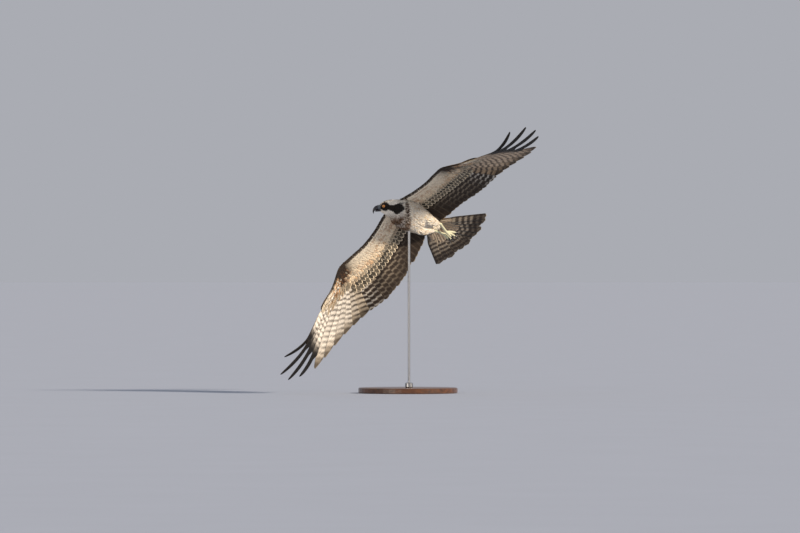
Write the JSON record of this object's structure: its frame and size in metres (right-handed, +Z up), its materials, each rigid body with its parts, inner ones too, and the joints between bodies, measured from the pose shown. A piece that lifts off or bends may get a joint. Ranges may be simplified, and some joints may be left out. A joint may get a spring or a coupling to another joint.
{
  "type": "osprey model",
  "caption": "Life-size osprey in banking flight, wings spread and bowed down, head level, tail fanned, on a round base with a steel rod.",
  "frame": {"origin": "middle of the stand base's underside, on the floor", "axes": "+Z up, -Y towards the picture's viewer, -X towards the bird's flight in the picture"},
  "size_m": [1.0329, 0.859, 1.0614],
  "materials": {
    "coat_cream": "matte feathers",
    "coat_head": "matte feathers",
    "coat_wing": "barred feathers",
    "coat_dark": "dark flight feathers",
    "scales": "scaled skin",
    "horn": "polished horn",
    "eye": "wet, glossy",
    "stand_wood": "dark oiled wood",
    "stand_steel": "satin"
  },
  "bodies": {
    "root": {"bill_lower": "horn", "bill_upper": "horn", "claw_left_1": "horn", "claw_left_2": "horn", "claw_left_3": "horn", "claw_left_4": "horn", "claw_right_1": "horn", "claw_right_2": "horn", "claw_right_3": "horn", "claw_right_4": "horn", "eye_left": "eye", "eye_right": "eye", "head": "coat_head", "leg_left": "scales", "leg_right": "scales", "neck": "coat_head", "primary_10_left": "coat_dark", "primary_10_right": "coat_dark", "primary_7_left": "coat_dark", "primary_7_right": "coat_dark", "primary_8_left": "coat_dark", "primary_8_right": "coat_dark", "primary_9_left": "coat_dark", "primary_9_right": "coat_dark", "stand_base": "stand_wood", "stand_collar": "stand_steel", "stand_rod": "stand_steel", "tail": "coat_wing", "thigh_left": "coat_cream", "thigh_right": "coat_cream", "trunk": "coat_cream", "wing_arm_left": "coat_wing", "wing_arm_right": "coat_wing", "wing_hand_left": "coat_wing", "wing_hand_right": "coat_wing"}
  },
  "joints": []
}
